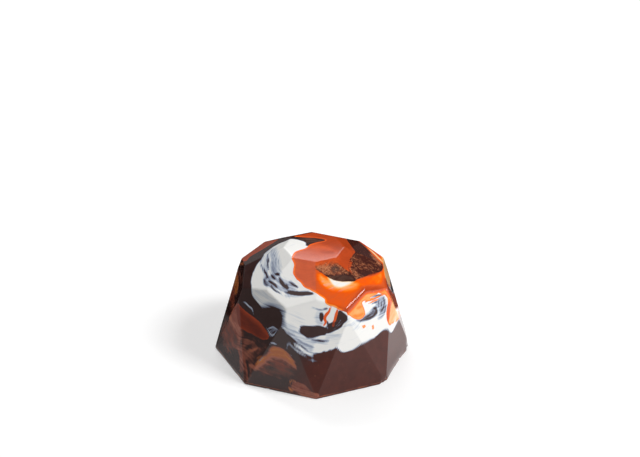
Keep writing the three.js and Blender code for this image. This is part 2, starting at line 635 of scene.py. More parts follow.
# %% Patches and strokes
def patch(points):
    """Signed distance to a closed outline, positive inside, no less than -FAR.

    A point is inside if a line from it to the right crosses the outline an odd number of times."""
    curve = smooth(points, closed=True)
    near = near_points(curve, FAR)
    where = MAP[near]
    distance, _ = distance_to(curve, where, closed=True)
    x, y = where.T
    inside = np.zeros(len(where), bool)
    for start, end in zip(curve, np.roll(curve, -1, axis=0)):
        crosses = (start[1] > y) != (end[1] > y)
        climb = end[1] - start[1] or 1.0
        at = start[0] + (y - start[1]) * (end[0] - start[0]) / climb
        inside ^= crosses & (x < at)
    signed = np.full(len(MAP), -FAR)
    signed[near] = np.where(inside, distance, -np.minimum(distance, FAR))
    return signed


TAPER = 0.35
TIP_WIDTH = 0.25


def stroke(points, width):
    """Signed distance to a brush line of that width, which narrows over its first and last third.

    The width falls with the square root of the place along the taper, down to a quarter at the tips."""
    curve = smooth(points, closed=False)
    near = near_points(curve, FAR)
    distance, place = distance_to(curve, MAP[near], closed=False)
    narrowing = np.sqrt(np.clip(np.minimum(place, 1 - place) / TAPER, 0, 1))
    signed = np.full(len(MAP), -FAR)
    signed[near] = np.maximum(width / 2 * (TIP_WIDTH + (1 - TIP_WIDTH) * narrowing) - distance, -FAR)
    return signed


# %% Loads of paint
# On the sides and behind, no mark is sharper than the step in the run from one column to the next, or the
# columns would show as a comb along its edge. In front the columns are close enough.
FINE_TO = np.radians(78)
run_step = np.abs(np.diff(RUN, axis=1, append=RUN[:, :1]))
LEAST_SOFT = np.where(np.abs(AZIMUTH) > FINE_TO, run_step, 0.0).ravel()


def cover(signed, soft):
    """Load from a signed distance: 0.5 on the edge, 1 at soft millimetres inside, 0 as far outside."""
    return np.clip(0.5 + signed / (2 * np.maximum(soft, LEAST_SOFT)), 0, 1)


def lay(load, signed, soft, amount=1.0):
    """Adds a mark: the larger of the old load and this one."""
    return np.maximum(load, amount * cover(signed, soft))


def lift(load, signed, soft, amount=1.0):
    """Takes paint away where the mark is."""
    return load * (1 - amount * cover(signed, soft))


def tint(tone, signed, value, soft):
    """Shifts a tone to a value where the mark is."""
    share = cover(signed, soft)
    return tone * (1 - share) + value * share


# %% Whole lists of marks
def lay_lines(load, lines, soft):
    """Lays brush lines on, each given by its points, its width and its load."""
    for points, width, amount in lines:
        load = lay(load, stroke(points, width), soft, amount)
    return load


def lift_lines(load, lines, soft):
    """Lifts brush lines off, each given by its points, its width and the share taken away."""
    for points, width, share in lines:
        load = lift(load, stroke(points, width), soft, share)
    return load


def lift_patches(load, patches):
    """Lifts patches off, each given by its outline, the share taken away and the softness of its edge."""
    for points, share, soft in patches:
        load = lift(load, patch(points), soft, share)
    return load


def line_or_patch(points, width):
    """A stroke, or a patch where the width is 0."""
    return stroke(points, width) if width else patch(points)


def dab(load, tone, mark, value, soft, amount=1.0):
    """Lays a mark on and shifts the tone to a value where it is."""
    return lay(load, mark, soft, amount), tint(tone, mark, value, soft)


def tell(name, load):
    """Prints how much of the skin a load covers, as a share of its points."""
    print(f"{name} covers {np.mean(load > 0.5):.0%} of the points")


# %% [markdown]
# ## White cocoa butter
# White was brushed on in one broad sweep: from the table round the left shoulder, across the front and up to
# the right. Where the brush ran dry the dark chocolate shows through in fine lines, and thin white over dark
# looks blue-grey, because it scatters blue light more.

# %% The white sweep
WHITE_SWEEP = [
    (-1.0, 0.3), (-1.2, 1.3), (-1.75, 1.9), (-2.9, 2.45), (-4.2, 2.55), (-5.2, 2.85), (-6.4, 2.75),
    (-7.3, 2.1), (-7.9, 1.3), (-8.2, 0.1), (-9.1, -1.0), (-9.7, -2.0), (-10.2, -3.2), (-10.45, -4.6),
    (-10.4, -5.9), (-10.85, -7.0), (-10.6, -8.1), (-10.2, -9.3), (-9.9, -10.2), (-9.0, -10.5),
    (-8.0, -10.8), (-7.0, -11.3), (-6.2, -12.1), (-6.1, -12.9), (-6.4, -13.7), (-6.6, -14.3),
    (-6.0, -15.2), (-5.05, -16.15), (-4.3, -16.9), (-3.45, -17.85), (-2.4, -18.6), (-1.3, -19.2),
    (0.05, -19.25), (1.1, -19.1), (1.55, -18.9), (2.2, -18.9), (2.7, -18.6), (3.4, -18.45), (4.1, -18.0),
    (4.65, -18.2), (5.7, -18.6), (6.95, -18.4), (7.95, -17.95), (8.85, -17.15), (9.9, -16.05),
    (11.0, -15.35), (12.05, -14.45), (12.95, -13.75), (13.6, -12.85), (14.2, -11.85), (14.85, -10.95),
    (15.55, -10.35), (16.4, -10.05), (17.6, -9.4), (18.5, -7.95), (18.9, -6.15), (19.25, -4.0),
    (20.2, -1.5), (21.2, 2.1), (21.6, 5.5), (20.6, 8.5), (18.0, 11.0), (14.0, 11.5), (11.0, 9.0),
    (6.0, 5.0), (1.5, 0.8),
]
nothing = np.zeros(len(MAP))
white = lay(nothing, patch(WHITE_SWEEP), soft=0.13)
tell("the white sweep", white)

# %% Where the white is thin, and where it is thinned over one kite as painted shade: outline, share taken away, softness of the edge
THIN_WHITE_AND_KITE_SHADE = [
    ([(-7.9, 1.8), (-6.4, 2.5), (-5.7, 1.0), (-5.4, -1.5), (-5.3, -3.5), (-5.4, -5.6), (-6.6, -5.8),
      (-7.3, -4.5), (-7.2, -2.0), (-7.6, 0.2)], 0.27, 0.45),
    ([(-7.1, -2.2), (-6.1, -2.0), (-5.7, -3.8), (-5.6, -5.4), (-6.6, -5.2), (-7.1, -4.0)], 0.16, 0.40),
    ([(-8.8, 0.0), (-7.7, 0.2), (-7.5, -2.0), (-7.5, -5.2), (-8.2, -5.2), (-8.4, -3.0), (-8.7, -1.2)],
     0.30, 0.25),
    ([(-8.3, -5.2), (-6.8, -5.0), (-5.6, -6.0), (-4.4, -7.1), (-3.0, -8.6), (-3.6, -9.2), (-5.2, -8.8),
      (-6.4, -8.2), (-7.8, -7.2)], 0.36, 0.30),
    ([(-5.0, -8.8), (-3.4, -9.1), (-1.4, -9.4), (-0.3, -10.1), (-2.4, -10.3), (-4.6, -9.8)], 0.42, 0.20),
    ([(-11.0, -10.4), (-9.3, -10.25), (-7.8, -10.5), (-6.7, -11.2), (-6.0, -12.1), (-6.05, -13.2),
      (-6.5, -14.4), (-8.0, -14.5), (-11.0, -13.0)], 1.0, 1.0),
    ([(-0.2, -12.9), (1.2, -12.8), (1.3, -14.8), (0.6, -15.2), (-0.2, -14.6)], 0.26, 0.30),
    ([(5.4, -13.2), (7.5, -13.2), (9.0, -13.6), (8.0, -14.6), (6.0, -14.6), (5.0, -15.0)], 0.20, 0.50),
    ([(2.0, -16.2), (4.4, -15.8), (5.2, -16.2), (4.4, -17.0), (2.2, -17.1)], 0.24, 0.30),
    # This one is painted shade: it thins the white over the upper part of the left-front kite, just below
    # the crown line, so that facet looks darker, as if turned away from the light.
    ([(-12.0, -5.0), (-9.9, -6.6), (-8.0, -8.0), (-6.3, -9.9), (-5.0, -12.0), (-6.0, -13.0),
      (-9.0, -11.5), (-12.0, -9.0)], 0.18, 0.25),
    ([(-4.8, -12.8), (-3.2, -12.6), (-2.4, -13.6), (-2.6, -14.8), (-4.6, -14.6)], 0.12, 0.70),
    ([(10.0, 6.5), (13.0, 8.5), (17.0, 9.5), (21.0, 8.0), (19.0, 12.5), (14.0, 13.0), (10.0, 11.0)],
     0.75, 1.3),
    ([(-6.3, -13.9), (-4.2, -14.8), (-2.5, -16.3), (-0.6, -17.0), (2.2, -17.0), (2.0, -17.7),
      (-0.2, -18.0), (-1.2, -19.2), (-3.2, -17.8), (-5.0, -16.2)], 0.33, 0.35),
]
white = lift_patches(white, THIN_WHITE_AND_KITE_SHADE)
tell("white where it is thick", white)

# %% Where the brush ran dry: line, width, share taken away
DRY_LINES = [
    ([(-7.3, 0.4), (-7.35, -1.0), (-7.5, -2.4), (-7.35, -3.6)], 0.28, 0.60),
    ([(-7.35, -0.8), (-7.38, -1.9)], 0.34, 0.55),
    ([(-6.6, 1.6), (-6.7, 0.2), (-6.6, -1.4)], 0.16, 0.30),
    ([(-6.2, 0.8), (-6.3, -1.0), (-6.2, -3.0)], 0.14, 0.25),
    ([(-8.6, -1.5), (-8.3, -2.9), (-8.05, -3.7), (-7.8, -4.4), (-7.7, -5.3)], 0.26, 0.74),
    ([(-8.25, -5.3), (-8.15, -6.4), (-7.7, -7.2)], 0.36, 0.45),
    ([(-7.5, -6.1), (-7.0, -6.8), (-6.5, -7.4), (-6.2, -7.9)], 0.30, 0.88),
    ([(-7.1, -7.3), (-6.7, -8.1), (-6.1, -8.7), (-5.6, -9.0)], 0.28, 0.78),
    ([(-7.0, -5.1), (-6.7, -5.8), (-6.4, -6.4)], 0.22, 0.75),
    ([(-6.3, -5.2), (-5.9, -5.5), (-5.65, -5.9)], 0.40, 0.74),
    ([(-5.7, -6.2), (-5.4, -7.1), (-5.0, -7.9), (-4.4, -8.5)], 0.48, 0.78),
    ([(-4.95, -7.7), (-4.5, -8.35)], 0.45, 0.90),
    ([(-4.2, -7.2), (-3.6, -7.8), (-2.85, -8.65)], 0.26, 0.88),
    ([(-4.5, -9.0), (-3.6, -9.4), (-2.4, -9.7), (-1.4, -9.8), (-0.6, -10.0)], 0.60, 0.97),
    ([(-6.0, -8.9), (-5.2, -9.6), (-4.2, -10.2)], 0.20, 0.35),
    ([(-0.8, -12.2), (0.5, -12.6), (1.8, -12.25)], 0.20, 0.45),
    ([(1.2, -12.5), (1.9, -12.3)], 0.22, 0.85),
    ([(-1.1, -17.1), (0.2, -17.35), (1.6, -17.4)], 0.20, 0.80),
    ([(0.2, -17.15), (1.4, -17.25), (2.6, -17.2)], 0.15, 0.50),
    ([(-4.3, -17.1), (-3.2, -17.9), (-2.4, -18.5), (-1.8, -18.85)], 0.30, 0.92),
    ([(-5.4, -15.6), (-4.2, -16.4), (-3.0, -17.3), (-1.8, -17.9), (-0.6, -18.3)], 0.26, 0.40),
    ([(-5.9, -15.0), (-5.1, -15.5), (-4.2, -15.9)], 0.20, 0.50),
    ([(1.95, -14.2), (2.35, -15.0)], 0.30, 0.90),
]
white = lift_lines(white, DRY_LINES, soft=0.12)
tell("white with its dry lines", white)

# %% Places that the white left bare
BARE_PLACES = [
    [(-2.95, -14.85), (-1.9, -14.95), (-0.8, -15.05), (0.8, -15.1), (1.75, -15.3), (1.9, -16.2),
     (0.8, -16.55), (-0.25, -16.8), (-1.75, -16.8), (-2.5, -16.3), (-3.15, -15.85), (-3.4, -15.55),
     (-3.05, -15.2)],
    [(0.60, -13.15), (1.1, -13.15), (1.25, -13.7), (1.05, -14.3), (0.75, -14.3), (0.55, -13.7)],
    [(3.8, -12.35), (4.6, -12.65), (5.2, -13.0), (5.4, -13.6), (5.0, -14.1), (4.5, -14.9), (3.6, -15.45),
     (2.8, -15.85), (1.95, -16.0), (1.85, -15.2), (2.2, -14.75), (2.9, -14.25), (3.4, -13.6),
     (3.6, -13.0)],
]
for points in BARE_PLACES:
    white = lift(white, patch(points), soft=0.13)
tell("white with its bare places", white)

# %% [markdown]
# ## Orange cocoa butter
# The cap of the gem is orange, and its tone changes: deep red-orange on the table, clear orange near the
# right crown edge, yellow where it thins out over white. A second number per point holds that tone, from 0
# for red-brown to 1 for cream, so one ramp of colours serves every orange mark.

# %% The orange cap
ORANGE_CAP = [
    (-1.0, 0.1), (-1.45, -0.45), (-2.4, -1.0), (-2.95, -1.5), (-3.3, -2.4), (-3.5, -3.3), (-3.25, -4.4),
    (-3.4, -5.2), (-3.5, -6.0), (-3.05, -7.05), (-2.4, -7.8), (-1.9, -8.65), (-1.0, -9.3), (0.0, -10.05),
    (0.7, -10.5), (1.3, -10.9), (1.4, -11.5), (2.0, -11.85), (2.9, -11.95), (3.6, -12.25), (4.9, -12.45),
    (5.6, -12.4), (8.2, -8.5), (12.0, -5.5), (11.6, -2.0), (11.35, 0.0), (11.8, 3.0), (12.0, 5.2),
    (9.5, 8.5), (5.0, 11.0), (0.0, 10.2), (-3.0, 8.4), (-4.5, 6.0), (-3.2, 3.6), (-1.9, 3.05), (0.2, 2.8),
    (1.55, 2.35), (1.6, 1.9), (0.5, 1.45), (-0.4, 0.95), (-0.85, 0.45),
]
cap = patch(ORANGE_CAP)
orange = lay(nothing, cap, soft=0.13)
tell("the orange cap", orange)

# %% Its tone, with one dark arc on the table that is a painted reflection: outline, tone, softness of the edge
CAP_TONES_AND_REFLECTION = [
    ([(-2.0, 4.5), (-2.0, 2.5), (0.5, 1.2), (3.2, -0.9), (3.3, -3.2), (5.0, -4.8), (6.4, -2.0),
      (8.0, 1.0), (9.0, 6.0), (4.0, 9.0), (-3.0, 7.0)], 0.36, 0.6),
    ([(-3.2, -2.5), (-1.0, -0.6), (1.6, -0.8), (3.1, -2.0), (3.3, -3.2), (0.0, -4.6), (-3.2, -3.3)],
     0.44, 0.5),
    # This small dark arc on the table is a painted reflection: something dark mirrored in the glossy table,
    # not a change in the paint.
    ([(1.0, -1.4), (2.6, -1.3), (3.0, -2.0), (1.6, -2.1)], 0.36, 0.3),
    ([(-0.6, -5.4), (0.5, -6.4), (0.4, -10.0), (-0.5, -9.8)], 0.46, 0.4),
    ([(-1.0, -8.5), (2.0, -9.5), (6.0, -9.0), (6.0, -12.0), (2.0, -12.5)], 0.57, 1.0),
    ([(0.2, -6.3), (2.0, -7.3), (5.2, -7.1), (6.8, -6.8), (6.9, -8.1), (5.5, -9.4), (3.0, -9.9),
      (0.8, -9.0), (0.0, -7.8)], 0.60, 0.50),
    ([(6.4, -6.8), (8.5, -4.8), (11.0, -1.8), (11.3, -3.5), (10.6, -5.2), (8.6, -6.6), (7.2, -7.6)],
     0.62, 0.22),
    ([(9.6, -3.8), (10.9, -2.1), (11.1, -3.0), (10.6, -4.8), (9.8, -5.2)], 0.68, 0.4),
    ([(10.3, -2.9), (10.9, -2.2), (11.0, -2.7), (10.6, -3.6)], 0.72, 0.3),
    ([(11.0, -0.8), (11.5, -1.5), (11.8, -5.2), (11.1, -5.4), (11.25, -3.0)], 0.50, 0.2),
    ([(0.6, -6.6), (2.2, -7.3), (3.0, -7.4), (5.2, -7.1), (6.6, -6.9), (6.7, -7.9), (5.2, -8.7),
      (3.2, -9.0), (1.4, -8.7), (0.6, -7.8)], 0.77, 0.45),
    ([(1.9, -6.95), (3.0, -7.2), (4.2, -7.25), (5.4, -6.95), (6.1, -6.8), (5.5, -7.45), (4.7, -8.0),
      (3.9, -8.4), (3.2, -8.45), (2.6, -8.05), (2.2, -7.5)], 1.0, 0.22),
]
# Just inside its edge the cap is thin and lighter: by how much, how far in, over what width, up to what x.
THIN_EDGE_TONE = 0.22
THIN_EDGE_INSET = 0.12
THIN_EDGE_WIDTH = 0.16
THIN_EDGE_TO = 6

tone = nothing + 0.50
for points, value, soft in CAP_TONES_AND_REFLECTION:
    tone = tint(tone, patch(points), value, soft)
thin_edge = np.exp(-((cap - THIN_EDGE_INSET) / THIN_EDGE_WIDTH) ** 2) * (MAP[:, 0] < THIN_EDGE_TO)
tone = tone + THIN_EDGE_TONE * thin_edge
print(f"tones from {tone.min():.2f} to {tone.max():.2f}")

# %% [markdown]
# ## The dark eye
# Inside the cap, orange was wiped away and dark chocolate shows, sprinkled with orange-brown dust where the
# brush only touched it. Two lobes on two facets make an eye, and a dark band runs from it over the back.

# %% The eye's two lobes, without white or orange
EYE_LEFT = [
    (0.0, -5.75), (1.0, -6.4), (2.05, -7.0), (3.0, -7.3), (4.0, -7.3), (5.0, -7.1), (6.3, -6.7),
    (5.6, -5.6), (4.4, -4.9), (3.55, -4.15), (2.8, -3.8), (1.4, -4.3), (0.2, -4.95),
]
EYE_RIGHT = [
    (6.4, 0.2), (6.0, -1.05), (5.6, -2.0), (5.35, -3.0), (5.1, -4.45), (5.45, -5.55), (6.2, -6.6),
    (7.05, -5.95), (8.0, -5.0), (9.0, -4.0), (10.0, -2.9), (10.7, -2.1), (11.15, -1.3), (11.2, -0.2),
    (10.4, 1.5), (9.7, 3.5), (9.0, 5.2), (7.6, 7.3), (5.8, 7.4), (5.4, 5.0), (5.9, 2.6),
]
THIN_CAP = [
    (0.3, -6.6), (0.4, -8.6), (1.8, -9.8), (3.6, -10.0), (5.6, -9.4), (6.9, -8.0), (6.2, -6.9),
    (3.0, -7.4),
]
LOBE_MARGIN = 0.16

orange = lift(orange, patch(THIN_CAP), soft=0.8, amount=0.42)
for outline in (EYE_LEFT, EYE_RIGHT):
    lobe = patch(outline)
    orange = lift(orange, lobe, soft=0.14)
    white = lift(white, lobe + LOBE_MARGIN, soft=0.10)
tell("orange round the eye", orange)

# %% Orange that hangs over the edges of the lobes, and painted haze over the left lobe's top: line, width, load, softness of the edge
LOBE_EDGES_AND_HAZE = [
    # The first, wide and very soft, is partly orange hanging over the left lobe's top edge and partly a
    # painted reflection: the pale haze that a soft light leaves on the gloss there.
    ([(-0.2, -5.0), (1.2, -4.3), (2.6, -3.7), (3.6, -3.8), (4.4, -4.5)], 0.9, 1.0, 2.0),
    ([(5.9, -1.8), (5.6, -3.2), (5.35, -4.6), (5.9, -6.0)], 0.9, 0.60, 0.5),
    ([(10.6, -1.0), (9.9, -2.6), (8.6, -4.2)], 0.5, 0.6, 0.4),
]
for points, width, amount, soft in LOBE_EDGES_AND_HAZE:
    orange = lay(orange, stroke(points, width), soft=soft, amount=amount)
tone = tint(tone, stroke([(11.2, 0.2), (10.5, -1.4), (9.6, -2.9), (8.4, -4.3)], 0.8), 0.16, soft=0.3)
tell("orange with its hazy edges", orange)

# %% Copper dust in the eye: outline, load, softness of the edge
DUSTED = [
    ([(-0.2, -5.6), (0.4, -4.8), (2.6, -4.0), (4.4, -4.6), (5.6, -5.8), (4.6, -6.3), (3.2, -6.6),
      (2.0, -7.0)], 0.66, 0.4),
    ([(-0.2, -5.8), (0.4, -4.8), (1.8, -4.2), (2.4, -5.2), (1.8, -6.6)], 0.95, 0.6),
    ([(5.4, -0.2), (5.3, -3.0), (5.0, -5.0), (6.3, -6.6), (9.0, -4.0), (11.0, -1.6), (10.6, 0.2)],
     0.40, 0.5),
    ([(5.4, -4.0), (5.3, -5.4), (6.3, -6.7), (8.0, -5.0), (7.0, -4.4)], 0.62, 0.5),
    ([(9.3, 3.0), (9.6, 0.2), (10.8, -0.6), (11.0, 1.2), (10.2, 3.4)], 0.75, 0.4),
]
dust = nothing
for points, amount, soft in DUSTED:
    dust = lay(dust, patch(points), soft=soft, amount=amount)
UNDUSTED = [
    ([(1.7, -7.0), (2.8, -6.5), (3.8, -6.15), (4.8, -5.95), (5.6, -6.0), (6.1, -6.6), (5.4, -7.4),
      (3.4, -7.6)], 0.95, 0.3),
    ([(2.6, -5.0), (3.4, -4.8), (3.6, -5.6), (2.8, -5.9)], 0.5, 0.3),
    ([(6.8, -5.2), (8.4, -4.4), (9.2, -3.2), (8.2, -3.2), (7.0, -4.4)], 0.6, 0.3),
    ([(7.0, -0.3), (9.2, -0.4), (9.0, -1.4), (7.2, -1.4)], 0.5, 0.4),
]
dust = lift_patches(dust, UNDUSTED)
tell("dust", dust)

# %% The pale line at the edge of the cap, behind the eye
PALE_EDGE = [(9.0, 6.4), (10.2, 4.4), (10.9, 2.6), (11.3, 1.4)]
orange = lay(orange, stroke(PALE_EDGE, 0.55), soft=0.2)
tone = tint(tone, stroke(PALE_EDGE, 0.7), 0.92, soft=0.2)
tell("orange with the pale line", orange)

# %% [markdown]
# ## The right side
# Below the right crown edge yellow-orange, white and grey run side by side, and a red-orange band climbs
# towards the back with a pale line along its lower edge.

# %% The grey patch and the fine lines beside it
GREY_PATCH = [
    (8.6, -12.4), (9.3, -11.4), (10.1, -10.6), (10.8, -9.4), (11.4, -8.9), (12.1, -9.5), (12.0, -10.2),
    (11.3, -11.2), (10.5, -11.8), (9.6, -12.3), (8.6, -12.9), (7.5, -13.1), (7.6, -12.8),
]
GREY_LOOP = [
    (10.8, -8.6), (11.2, -7.2), (12.2, -6.4), (13.4, -6.9), (13.9, -8.4), (13.4, -9.9), (12.4, -10.4),
    (12.4, -9.2),
]
RIGHT_DRY_LINES = [
    ([(8.0, -12.95), (9.6, -12.15), (10.8, -11.35), (11.6, -10.3), (12.0, -9.6)], 0.30, 0.55),
    ([(9.7, -12.0), (10.3, -11.0), (11.2, -9.8)], 0.25, 0.35),
    ([(10.9, -9.5), (11.5, -9.3), (12.0, -9.7)], 0.45, 0.60),
    ([(12.1, -6.7), (12.8, -7.2), (13.0, -8.2), (12.7, -9.0)], 0.28, 0.55),
    ([(12.1, -7.5), (12.6, -8.3)], 0.30, 0.45),
    ([(11.4, -7.7), (11.9, -8.6)], 0.20, 0.45),
    ([(13.3, -7.2), (13.7, -8.4), (13.4, -9.4), (12.6, -10.6)], 0.18, 0.45),
    ([(11.6, -6.5), (11.0, -7.4), (10.2, -8.6)], 0.20, 0.60),
]
RIGHT_WHITE_LINES = [
    ([(9.3, -11.7), (10.2, -10.8), (10.9, -10.0)], 0.22, 0.75),
    ([(10.4, -11.4), (11.2, -10.5), (11.5, -9.9)], 0.16, 0.70),
]
white = lift(white, patch(GREY_PATCH), soft=0.25, amount=0.57)
white = lift(white, patch(GREY_LOOP), soft=0.3, amount=0.36)
white = lift_lines(white, RIGHT_DRY_LINES, soft=0.13)
white = lay_lines(white, RIGHT_WHITE_LINES, soft=0.13)
tell("white with the grey patch", white)

# %% Orange marks on the white: line or outline, width, tone. A width of 0 means an outline.
ORANGE_MARKS = [
    ([(5.3, -12.7), (6.7, -10.4), (8.2, -8.4), (9.6, -7.4), (10.6, -6.9), (10.4, -7.6), (9.6, -8.4),
      (9.3, -9.2), (8.3, -9.6), (8.0, -10.1), (8.9, -10.8), (9.3, -11.4), (8.8, -12.2), (7.8, -12.8),
      (6.6, -12.95), (5.7, -12.8)], 0, 0.78),
    ([(8.6, -9.7), (9.9, -8.5), (11.2, -7.0), (11.9, -6.4)], 0.42, 0.76),
    ([(9.4, -9.7), (10.5, -8.5), (11.4, -7.5)], 0.22, 0.84),
    ([(9.8, -7.2), (11.0, -6.3), (12.3, -5.8), (13.2, -5.9), (13.7, -6.6)], 0.80, 0.76),
    ([(6.6, -12.6), (7.8, -12.2), (8.8, -11.5)], 0.45, 0.70),
    ([(7.0, -11.3), (8.0, -10.6)], 0.50, 0.72),
    ([(2.35, -12.0), (2.1, -12.8), (1.7, -13.3), (1.5, -13.9), (1.7, -14.4), (1.35, -15.0)], 0.50, 0.60),
    ([(3.5, -12.2), (3.4, -13.0), (3.3, -13.8), (3.1, -14.4)], 0.48, 0.58),
    ([(3.2, -14.2), (3.1, -15.0)], 0.40, 0.10),
    ([(11.75, -12.3), (12.0, -12.3), (12.2, -12.25)], 0.80, 0.80),
    ([(9.15, -13.5), (9.55, -13.3), (10.0, -12.9)], 0.45, 0.86),
]
for points, width, value in ORANGE_MARKS:
    mark = line_or_patch(points, width)
    orange = lay(orange, mark, soft=0.14)
    tone = tint(tone, mark, value, soft=0.18)
tell("orange with its marks on the white", orange)

# %% Thin dark lines through the orange, and its darker tone along the crown edge: line, width
ORANGE_GAPS = [
    ([(10.0, -8.3), (10.9, -7.2), (11.7, -6.6)], 0.20),
    ([(9.4, -8.6), (10.3, -7.6), (11.1, -6.9)], 0.14),
    ([(10.2, -9.2), (11.1, -8.2)], 0.16),
]
CROWN_EDGE = [(4.4, -12.5), (5.3, -11.95), (6.6, -10.0), (8.0, -8.05), (9.6, -6.9), (11.3, -5.8)]
for points, width in ORANGE_GAPS:
    gap = stroke(points, width)
    orange = lift(orange, gap, soft=0.12, amount=0.85)
    white = lift(white, gap, soft=0.12, amount=0.65)
tone = tint(tone, stroke(CROWN_EDGE, 0.85), 0.38, soft=0.35)
tell("orange with its gaps", orange)

# %% Red band, cream and grey on the far right: line or outline, width or 0, tone, softness of the edge
RED_BAND = [
    (11.7, -3.2), (11.8, -5.1), (13.4, -5.4), (15.2, -5.0), (17.0, -3.8), (18.4, -2.0), (19.6, 0.6),
    (20.8, 3.6), (20.8, 7.5), (17.4, 7.5), (17.4, 4.0), (17.0, 1.5), (15.6, -0.8), (14.2, -2.2),
    (12.8, -3.0),
]
FAR_RIGHT_MARKS = [
    ([(11.4, 5.0), (11.35, 0.0), (11.6, -2.8), (12.8, -2.8), (14.2, -1.8), (15.3, 0.2), (15.4, 4.0),
      (15.4, 8.0), (12.0, 8.0)], 0, 0.86, 0.35),
    (RED_BAND, 0, 0.34, 0.30),
    ([(20.0, -0.2), (20.6, 3.0), (20.7, 7.0)], 0.5, 0.52, 0.2),
    ([(17.4, -5.6), (18.5, -3.6), (19.7, -1.0), (20.9, 1.8), (21.3, 5.0), (21.2, 8.0)], 0.7, 0.90, 0.25),
    ([(14.0, -4.6), (17.6, -3.4), (19.2, -2.6), (18.9, -4.8), (18.2, -6.6), (17.0, -8.0), (15.6, -8.4)],
     0, 0.87, 0.40),
    ([(13.9, -5.0), (16.4, -4.6), (17.4, -6.4), (16.6, -8.6), (15.4, -9.3), (14.5, -8.4), (13.9, -6.6)],
     0, 0.80, 0.30),
    ([(14.0, -5.2), (14.2, -7.0), (15.0, -9.0)], 1.1, 0.66, 0.30),
    ([(14.3, -5.4), (14.35, -7.0), (15.0, -8.8)], 0.75, 0.50, 0.22),
    ([(12.0, -5.25), (13.4, -5.55), (14.6, -5.35)], 0.3, 0.56, 0.2),
]
for points, width, value, soft in FAR_RIGHT_MARKS:
    orange, tone = dab(orange, tone, line_or_patch(points, width), value, soft)
tell("orange with the far right", orange)

# %% Streaks through the far right
GREY_STREAK = [
    (15.3, -0.7), (16.2, 0.0), (17.0, 2.0), (17.2, 5.0), (17.0, 8.0), (15.6, 8.0), (15.4, 4.0),
    (15.4, 1.0),
]
pale_streak = stroke([(17.6, -4.6), (18.0, -6.0), (17.9, -7.6)], 0.5)
orange = lift(orange, pale_streak, soft=0.25, amount=0.8)
white = lift(white, pale_streak, soft=0.2, amount=0.35)
band_tip = stroke([(20.6, 1.0), (20.0, -1.6), (19.5, -3.4)], 0.8)
orange, tone = dab(orange, tone, band_tip, 0.58, soft=0.3)
grey_streak = patch(GREY_STREAK)
orange = lift(orange, grey_streak, soft=0.3, amount=0.9)
white = lift(white, grey_streak, soft=0.3, amount=0.85)
tell("orange with its streaks", orange)

# %% [markdown]
# ## The left side
# Copper-brown was dabbed over the dark chocolate first: a red-brown leaf, a shell with fine streaks, a curl
# at the rim and upright streaks on the left, with silvery scribbles of thin white over them.

# %% Where the dark itself is smoky: chocolate under a film too thin to have a colour
SMOKY = [
    (-27.0, 10.0), (-27.0, -8.0), (-21.0, -17.0), (-12.0, -24.0), (-7.0, -24.5), (-4.0, -21.0),
    (-1.0, -19.5), (3.0, -18.0), (9.0, -16.0), (14.0, -11.0), (18.0, -6.0), (20.0, 2.0), (18.0, 12.0),
    (8.0, 18.0), (-8.0, 20.0), (-20.0, 18.0),
]
CLEARER = [(5.0, -5.5), (7.0, -5.2), (11.0, -1.5), (11.0, 2.0), (9.0, 6.0), (5.5, 7.0), (5.5, 0.0)]
smoke = lay(nothing, patch(SMOKY), soft=1.6)
smoke = lift(smoke, patch(CLEARER), soft=1.2, amount=0.6)
tell("smoke", smoke)

